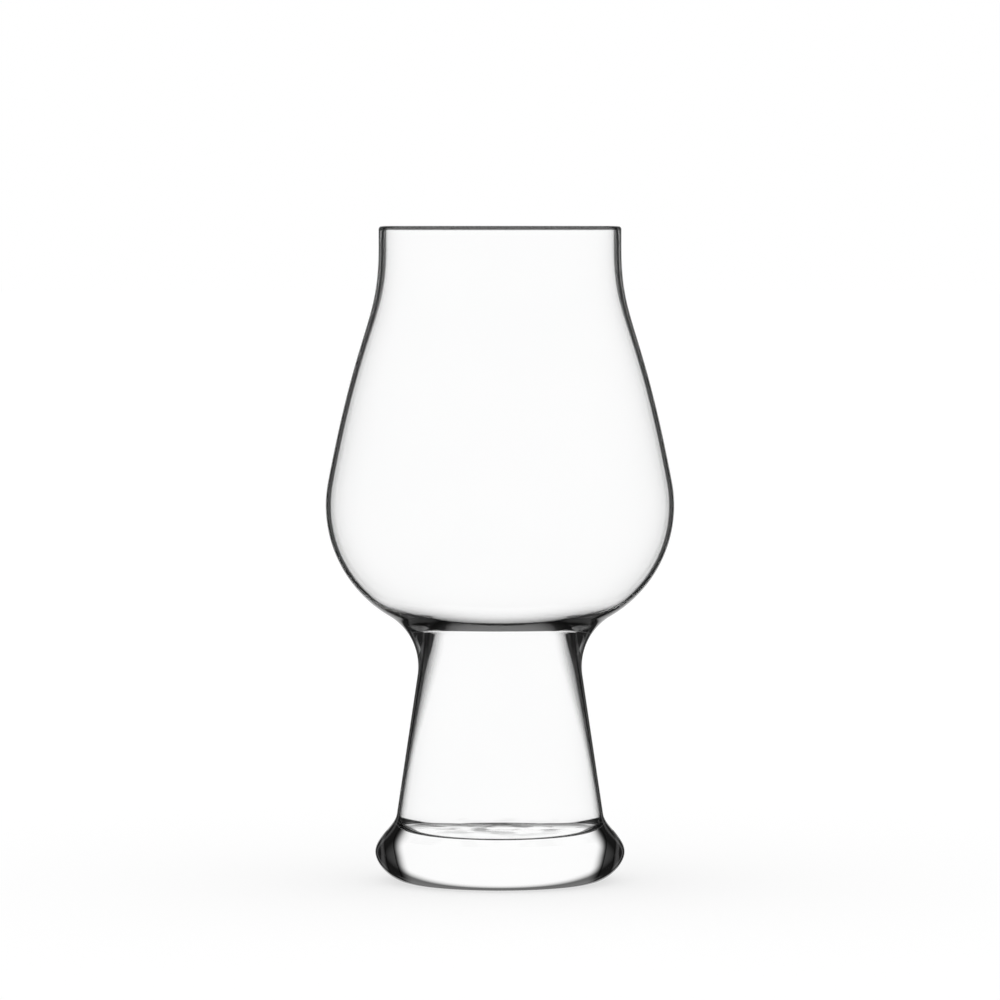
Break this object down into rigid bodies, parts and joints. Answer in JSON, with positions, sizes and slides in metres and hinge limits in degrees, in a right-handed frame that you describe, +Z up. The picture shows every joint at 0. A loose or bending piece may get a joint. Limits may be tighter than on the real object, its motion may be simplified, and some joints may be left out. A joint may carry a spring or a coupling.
{
  "type": "stout glass",
  "caption": "Clear stout glass: a round bowl that closes in to a straight lip, on a hollow tapered stem open to the bowl and a thick round foot; holds a dark beer and its foam.",
  "frame": {"origin": "on the table, under the middle of the foot", "axes": "+Z up along the axis of the glass, from the foot to the rim; the glass is round, so X and Y are any two level directions"},
  "size_m": [0.0962, 0.0962, 0.181],
  "materials": {
    "clear_glass": "clear, fire-polished"
  },
  "bodies": {
    "root": {"bowl": "clear_glass", "stem": "clear_glass", "foot": "clear_glass"}
  },
  "joints": []
}
